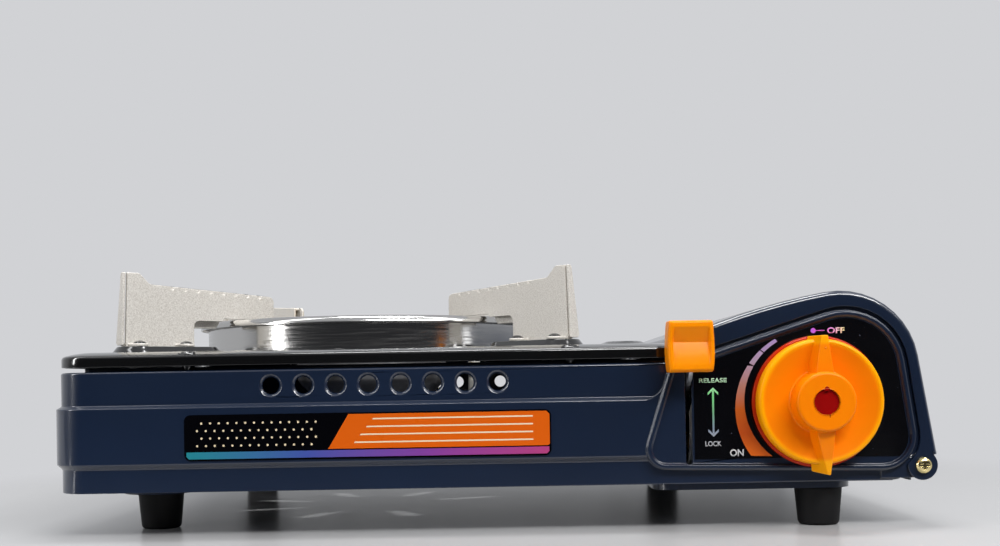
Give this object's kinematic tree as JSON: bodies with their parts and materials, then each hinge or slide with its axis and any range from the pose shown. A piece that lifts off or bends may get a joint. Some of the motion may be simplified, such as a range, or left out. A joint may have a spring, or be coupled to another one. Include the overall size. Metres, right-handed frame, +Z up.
{
  "type": "gas stove",
  "caption": "Flat tabletop gas stove with a ring burner and raised pan supports, a cartridge bay under a hinged side cover, a turning knob and a lever that locks the cartridge.",
  "frame": {"origin": "centre of the stove's footprint, screws and knob included, on the table under its feet", "axes": "+X to the right along the front face, with the cartridge bay at the +X end; +Y to the rear, so the knob faces -Y; +Z up"},
  "size_m": [0.3449, 0.2766, 0.1066],
  "materials": {
    "body_paint": "semi-gloss",
    "plated_steel": "zinc plated",
    "bright_steel": "bright",
    "gold_screw": "pale gold passivated",
    "black_sticker": "glossy printed film",
    "orange_label": "glossy printed film",
    "foot_rubber": "matt",
    "seal_rubber": "matt",
    "cast_zinc": "die cast",
    "white_plastic": "moulded",
    "wire_sleeve": "smooth",
    "ceramic": "glazed",
    "brass": "drawn",
    "cast_aluminium": "cast",
    "black_enamel": "enamel",
    "polished_steel": "polished",
    "grained_steel": "satin, fine grain",
    "orange_plastic": "glossy",
    "red_plastic": "glossy",
    "black_plastic": "moulded",
    "plunger_plastic": "moulded"
  },
  "bodies": {
    "housing": {"body_shell": "body_paint", "base_pan": "body_paint", "bay_divider": "plated_steel", "cartridge_cradle": "plated_steel", "control_sticker": "black_sticker", "name_label": "orange_label", "hinge_screws": "gold_screw", "cover_catch": "bright_steel", "body_screws": "bright_steel", "foot_front_left": "foot_rubber", "foot_front_right": "foot_rubber", "foot_rear_left": "foot_rubber", "foot_rear_right": "foot_rubber", "foot_screws": "bright_steel", "regulator_body": "cast_zinc", "regulator_cap": "bright_steel", "cap_screws": "bright_steel", "regulator_screws": "bright_steel", "socket_seal": "seal_rubber", "igniter_body": "white_plastic", "igniter_clip": "plated_steel", "ignition_wire": "wire_sleeve", "electrode_insulator": "ceramic", "electrode_rod": "bright_steel", "electrode_bracket": "plated_steel", "gas_pipe": "brass", "pipe_nut": "brass", "jet_nozzle": "brass", "mixing_tube": "bright_steel", "burner_body": "cast_aluminium", "burner_cap": "brass", "burner_bracket": "plated_steel", "burner_screws": "bright_steel", "lever_pin": "bright_steel", "lever_spring": "bright_steel", "pusher_guides": "plated_steel"},
    "top": {"top_plate": "black_enamel", "windshield_ring": "polished_steel", "pan_support_front_left": "grained_steel", "pan_support_front_right": "grained_steel", "pan_support_rear_left": "grained_steel", "pan_support_rear_right": "grained_steel", "support_rivets": "black_enamel"},
    "cover": {"cartridge_cover": "body_paint"},
    "knob": {"control_knob": "orange_plastic", "knob_insert": "red_plastic", "valve_spindle": "brass", "igniter_cam": "black_plastic"},
    "plunger": {"igniter_plunger": "plunger_plastic"},
    "lever": {"lever_arm": "plated_steel", "lever_tab": "orange_plastic", "drive_pin": "bright_steel"},
    "pusher": {"cartridge_pusher": "bright_steel"}
  },
  "joints": [
    {"name": "cover_hinge", "type": "hinge", "parent": "housing", "child": "cover", "pos_m": [0.1665, 0, 0.0236], "axis": [0, 1, 0], "range_deg": [0, 95]},
    {"name": "knob_turn", "type": "hinge", "parent": "housing", "child": "knob", "pos_m": [0.1255, -0.12185, 0.049], "axis": [0, -1, 0], "range_deg": [0, 125]},
    {"name": "igniter_push", "type": "slide", "parent": "housing", "child": "plunger", "axis": [-1, 0, 0], "range_m": [0, 0.00501]},
    {"name": "lever_swing", "type": "hinge", "parent": "housing", "child": "lever", "pos_m": [0.0763, -0.06185, 0.044], "axis": [1, 0, 0], "range_deg": [0, 28], "stiffness_Nm_per_rad": 0.15, "springref_deg": -28.65},
    {"name": "pusher_slide", "type": "slide", "parent": "housing", "child": "pusher", "axis": [0, -1, 0], "range_m": [0, 0.00509]},
    {"name": "top_plate_lift", "type": "slide", "parent": "housing", "child": "top", "axis": [0, 0, 1], "range_m": [0, 0.06]}
  ],
  "couplings": [
    {"joint": "igniter_push", "follows": "knob_turn", "m_per_rad": 0.0022918},
    {"joint": "pusher_slide", "follows": "lever_swing", "m_per_rad": 0.0104}
  ]
}
